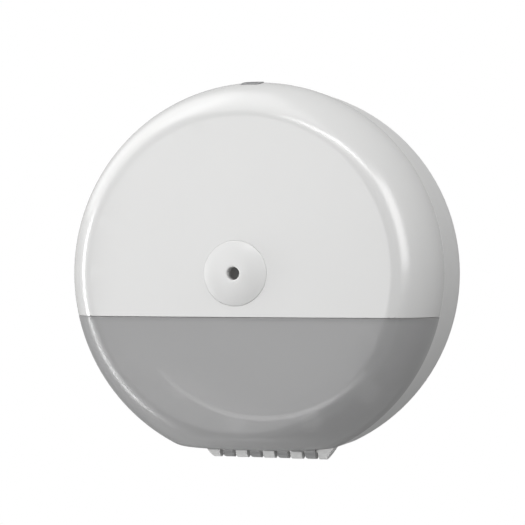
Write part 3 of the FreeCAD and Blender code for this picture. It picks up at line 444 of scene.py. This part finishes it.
# Light on its way in isn't held back, so the shelf inside still shows
path = nodes.new("ShaderNodeLightPath")
inward = nodes.new("ShaderNodeMapRange")
inward.inputs["To Min"].default_value = 1.0
inward.inputs["To Max"].default_value = SMOKE_INWARD
link(path.outputs["Is Shadow Ray"], inward.inputs["Value"])
held = nodes.new("ShaderNodeMath")
held.operation = "MULTIPLY"
link(tint.outputs[0], held.inputs[0])
link(inward.outputs[0], held.inputs[1])
link(held.outputs[0], sheet.inputs["Alpha"])
window_shell = broken_edges("window_shell", "level_window", WINDOW_EDGE, smoke_window)
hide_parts("level_window")
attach(window_shell, "cover")
screws("window_screw_set", "window_screws", "cover",
       [(side * reach, TAB_BACK, TAB_SCREW_Z) for reach in TAB_SCREW_X for side in (-1, 1)],
       HEAD_TO_BACK, TAB_SCREW_LENGTH)

# Nozzle: a domed disc with a small round outlet, moulded in white ABS with a soft sheen.
# Its sleeve passes through the middle of the cover.
NOZZLE_WHITE = (0.64, 0.64, 0.636, 1.0)
NOZZLE_RADIUS = 0.02228
NOZZLE_TIP = -0.156
NOZZLE_RIM = -0.1512
NOZZLE_SEAT = -0.1502
NOZZLE_EDGE = 0.0005
OUTLET_RADIUS = 0.0044
OUTLET_LIP = 0.0026
OUTLET_EDGE = 0.001
SLEEVE_RADIUS = 0.0175
SLEEVE_WALL = 0.002
SLEEVE_END = -0.139
THROAT_FRONT = -0.1485
DOME_STEPS = 24
CORNER_STEPS = 5
TURN_STEPS = 128


def rounded_corner(before, corner, after, radius):
    """Points round one corner of a profile, from the side before it to the side after it."""
    first = (before - corner).normalized() * radius
    last = (after - corner).normalized() * radius
    points = []
    for step in range(CORNER_STEPS + 1):
        share = step / CORNER_STEPS
        points.append(corner + first * (1 - share) ** 2 + last * share ** 2)
    return points


def turned(name, profile, steps, material):
    """A closed profile of (radius, place on Y) points, turned once round the Y axis."""
    build = bmesh.new()
    loops = []
    for step in range(steps):
        angle = math.tau * step / steps
        loops.append([build.verts.new((point.x * math.cos(angle), point.y, point.x * math.sin(angle)))
                      for point in profile])
    for loop, following in zip(loops, loops[1:] + loops[:1]):
        for low, high in zip(range(len(profile)), list(range(1, len(profile))) + [0]):
            build.faces.new((loop[low], loop[high], following[high], following[low]))
    bmesh.ops.recalc_face_normals(build, faces=build.faces)
    for face in build.faces:
        face.smooth = True
    mesh = bpy.data.meshes.new(name)
    build.to_mesh(mesh)
    build.free()
    mesh.set_sharp_from_angle(angle=SHARP_ANGLE)
    mesh.materials.append(material)
    return new_piece(name, mesh)


nozzle_white = moulded("nozzle_white", NOZZLE_WHITE, gloss=0.3)
lip_edge = OUTLET_RADIUS + OUTLET_LIP
dome_rise = NOZZLE_RIM - NOZZLE_TIP
dome_back = (dome_rise ** 2 + NOZZLE_RADIUS ** 2 - lip_edge ** 2) / (2 * dome_rise)
dome_radius = math.hypot(dome_back, lip_edge)
dome = []
for step in range(DOME_STEPS + 1):
    reach = lip_edge + (NOZZLE_RADIUS - lip_edge) * step / DOME_STEPS
    dome.append(Vector((reach, NOZZLE_TIP + dome_back - math.sqrt(dome_radius ** 2 - reach ** 2))))
rim_low = Vector((NOZZLE_RADIUS, NOZZLE_SEAT))
outlet = Vector((OUTLET_RADIUS, NOZZLE_TIP))
throat = Vector((OUTLET_RADIUS, THROAT_FRONT))
nozzle_profile = rounded_corner(throat, outlet, dome[0], OUTLET_EDGE)
nozzle_profile += dome[:-1]
nozzle_profile += rounded_corner(dome[-2], dome[-1], rim_low, NOZZLE_EDGE)
nozzle_profile += [
    rim_low,
    Vector((SLEEVE_RADIUS, NOZZLE_SEAT)),
    Vector((SLEEVE_RADIUS, SLEEVE_END)),
    Vector((SLEEVE_RADIUS - SLEEVE_WALL, SLEEVE_END)),
    Vector((SLEEVE_RADIUS - SLEEVE_WALL, THROAT_FRONT)),
    throat,
]
nozzle_disc = turned("nozzle_disc", nozzle_profile, TURN_STEPS, nozzle_white)
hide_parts("nozzle")
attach(nozzle_disc, "cover")

# Nozzle throat and ring: a tapered funnel behind the outlet, and a notched ring on the sleeve.
# Both are moulded in plain white plastic and pushed on from inside the cover.
THROAT_EDGE = 0.0002

for name, node in (("throat_funnel", "nozzle_throat"), ("sleeve_ring", "nozzle_ring")):
    piece = broken_edges(name, node, THROAT_EDGE, inner_white)
    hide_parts(node)
    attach(piece, "cover")

# Lock case: an open box of white plastic under the top of the cover, with a post for the spring.
# Two screws hold its ears to bosses of the cover.
CASE_EDGE = 0.0003
LOCK_Y = -0.111
LOCK_SCREW_X = 0.020
LOCK_SCREW_SEAT = 0.1175
LOCK_SCREW_LENGTH = 0.009

case_box = broken_edges("case_box", "lock_case", CASE_EDGE, inner_white)
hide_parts("lock_case")
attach(case_box, "cover")
screws("lock_screw_pair", "lock_screws", "cover",
       [(side * LOCK_SCREW_X, LOCK_Y, LOCK_SCREW_SEAT) for side in (-1, 1)],
       HEAD_DOWN, LOCK_SCREW_LENGTH)

# Latch spring: a wound compression spring of bright steel wire with closed ends.
# It stands on the post of the case and pushes the slider up.
SPRING_WIRE = 0.00045
SPRING_COIL = 0.0037
SPRING_TURNS = 6
SPRING_STEPS = 28
WIRE_ROUNDNESS = 4

spring_steel = plated("spring_steel", STEEL, gloss=0.22, brushed=300.0)
spring_low, spring_high = (corner.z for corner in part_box("latch_spring"))
coil = bpy.data.curves.new("spring_line", "CURVE")
coil.dimensions = "3D"
coil.bevel_depth = SPRING_WIRE
coil.bevel_resolution = WIRE_ROUNDNESS
coil.use_fill_caps = True
wire = coil.splines.new("POLY")
count = SPRING_TURNS * SPRING_STEPS
wire.points.add(count)
for step, point in enumerate(wire.points):
    share = step / count
    angle = math.tau * SPRING_TURNS * share
    # The wire rises less at both ends, so the end turns lie closer
    eased = share - math.sin(math.tau * share) / (math.tau * SPRING_TURNS)
    height = spring_low + SPRING_WIRE + (spring_high - spring_low - 2 * SPRING_WIRE) * eased
    point.co = (SPRING_COIL * math.cos(angle), LOCK_Y + SPRING_COIL * math.sin(angle), height, 1)
line = new_piece("spring_line", coil)
spring_mesh = bpy.data.meshes.new_from_object(line.evaluated_get(bpy.context.evaluated_depsgraph_get()))
bpy.data.objects.remove(line)
# The wire's end caps come unjoined from its side
build = bmesh.new()
build.from_mesh(spring_mesh)
bmesh.ops.remove_doubles(build, verts=build.verts, dist=MERGE_DISTANCE)
build.to_mesh(spring_mesh)
build.free()
spring_mesh.materials.clear()
spring_mesh.materials.append(spring_steel)
spring_mesh.shade_smooth()
spring_mesh.set_sharp_from_angle(angle=SHARP_ANGLE)
spring_coil = new_piece("spring_coil", spring_mesh)
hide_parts("latch_spring")
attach(spring_coil, "cover")
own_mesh(spring_coil)

# Lock button, key plate and latch slider: dark grey mouldings that move as one.
# The button stands in the top of the cover, with the key plate let into it, and its stem is pressed
# into the slider, whose ramped hook holds the cover shut.
LOCK_GREY = (0.24, 0.24, 0.245, 1.0)
KEY_BLACK = (0.03, 0.03, 0.032, 1.0)
BUTTON_EDGE = 0.0002
KEY_EDGE = 0.0002

lock_grey = moulded("lock_grey", LOCK_GREY, gloss=0.4)
key_black = moulded("key_black", KEY_BLACK, gloss=0.45)
for name, node, edge, finish, slot in (("push_button", "lock_button", BUTTON_EDGE, lock_grey, "lock_grey"),
                                       ("key_disc", "key_plate", KEY_EDGE, key_black, "key_black"),
                                       ("hook_slider", "latch_slider", KEY_EDGE, lock_grey, "lock_grey")):
    piece = broken_edges(name, node, edge, finish)
    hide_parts(node)
    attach(piece, "latch")

# Studio: a pale floor and plain soft lights, with a broad panel in front, panels to the left and above,
# and smaller ones to the right. The camera sees the floor and the room as plain white, and the room
# is darker towards its floor.
FLOOR_LEVEL = -1.2
FLOOR_SIZE = 3.0
FLOOR_GREY = (0.50, 0.50, 0.50, 1.0)
ROOM_LOW = 0.10
ROOM_HIGH = 0.50
ROOM_LOW_SLOPE = -0.7
ROOM_HIGH_SLOPE = 0.8
ROOM_THROUGH = 0.14
WHITE = (1.0, 1.0, 1.0, 1.0)
AIM = Vector((0.0, -0.10, 0.0))

bpy.ops.mesh.primitive_plane_add(size=FLOOR_SIZE, location=(0, 0, FLOOR_LEVEL))
floor = bpy.context.object
floor.name = "floor"
floor_paint = bpy.data.materials.new("floor_paint")
floor_paint.use_nodes = True
nodes = floor_paint.node_tree.nodes
link = floor_paint.node_tree.links.new
nodes.clear()
out = nodes.new("ShaderNodeOutputMaterial")
mix = nodes.new("ShaderNodeMixShader")
path = nodes.new("ShaderNodeLightPath")
matt = nodes.new("ShaderNodeBsdfDiffuse")
matt.inputs["Color"].default_value = FLOOR_GREY
glow = nodes.new("ShaderNodeEmission")
link(path.outputs["Is Camera Ray"], mix.inputs[0])
link(matt.outputs[0], mix.inputs[1])
link(glow.outputs[0], mix.inputs[2])
link(mix.outputs[0], out.inputs[0])
floor.data.materials.append(floor_paint)

world = bpy.data.worlds.new("studio")
bpy.context.scene.world = world
world.use_nodes = True
nodes = world.node_tree.nodes
link = world.node_tree.links.new
nodes.clear()
out = nodes.new("ShaderNodeOutputWorld")
place = nodes.new("ShaderNodeTexCoord")
slope = nodes.new("ShaderNodeSeparateXYZ")
link(place.outputs["Generated"], slope.inputs[0])
room = nodes.new("ShaderNodeMapRange")
room.interpolation_type = "SMOOTHSTEP"
for socket, value in (("From Min", ROOM_LOW_SLOPE), ("From Max", ROOM_HIGH_SLOPE),
                      ("To Min", ROOM_LOW), ("To Max", ROOM_HIGH)):
    room.inputs[socket].default_value = value
link(slope.outputs["Z"], room.inputs["Value"])
# Seen through the window, the room is dimmer
path = nodes.new("ShaderNodeLightPath")
bare = nodes.new("ShaderNodeMapRange")
bare.inputs["To Min"].default_value = 1.0
bare.inputs["To Max"].default_value = ROOM_THROUGH
link(path.outputs["Transparent Depth"], bare.inputs["Value"])
seen = nodes.new("ShaderNodeMix")
link(path.outputs["Is Camera Ray"], seen.inputs["Factor"])
link(room.outputs[0], seen.inputs["A"])
link(bare.outputs[0], seen.inputs["B"])
light = nodes.new("ShaderNodeBackground")
light.inputs["Color"].default_value = WHITE
link(seen.outputs["Result"], light.inputs["Strength"])
link(light.outputs[0], out.inputs[0])


def softbox(name, place, width, height, watts):
    """A rectangular soft light aimed at the middle of the object."""
    lamp = bpy.data.lights.new(name, "AREA")
    lamp.shape = "RECTANGLE"
    lamp.size = width
    lamp.size_y = height
    lamp.energy = watts
    light = bpy.data.objects.new(name, lamp)
    light.location = place
    light.rotation_euler = (AIM - Vector(place)).to_track_quat("-Z", "Y").to_euler()
    bpy.context.scene.collection.objects.link(light)


softbox("front_light", place=(-0.46, -1.58, -0.17), width=1.2, height=1.7, watts=10.3)
softbox("key_light", place=(-1.1, 0.1, 0.95), width=1.5, height=1.5, watts=7.5)
softbox("top_light", place=(-0.5, -0.4, 1.7), width=2.0, height=1.6, watts=10.0)
softbox("left_light", place=(-1.3, -0.35, -0.35), width=0.22, height=1.5, watts=12.0)
softbox("right_light", place=(1.6, -0.9, 0.7), width=0.9, height=1.4, watts=14.0)
softbox("edge_light", place=(0.35, -1.0, 0.95), width=0.9, height=0.10, watts=4.0)

# Camera: level with the object, a little to its right, with a long lens.
# Its shift only sets the framing.
CAMERA_ANGLE = math.radians(17.0)
CAMERA_DISTANCE = 1.3222
LENS = 126.26
SENSOR = 36.0
SHIFT_ACROSS = -0.0073
SHIFT_UP = 0.0206
VIEW_CENTRE = Vector((0.0, -0.078, 0.0))

camera_data = bpy.data.cameras.new("camera")
camera = bpy.data.objects.new("camera", camera_data)
bpy.context.scene.collection.objects.link(camera)
view_line = Vector((math.sin(CAMERA_ANGLE), -math.cos(CAMERA_ANGLE), 0))
camera.location = VIEW_CENTRE + CAMERA_DISTANCE * view_line
camera.rotation_euler = (VIEW_CENTRE - camera.location).to_track_quat("-Z", "Y").to_euler()
camera_data.lens = LENS
camera_data.sensor_width = SENSOR
camera_data.shift_x = SHIFT_ACROSS
camera_data.shift_y = SHIFT_UP
bpy.context.scene.camera = camera
bpy.context.scene.view_settings.view_transform = "Standard"
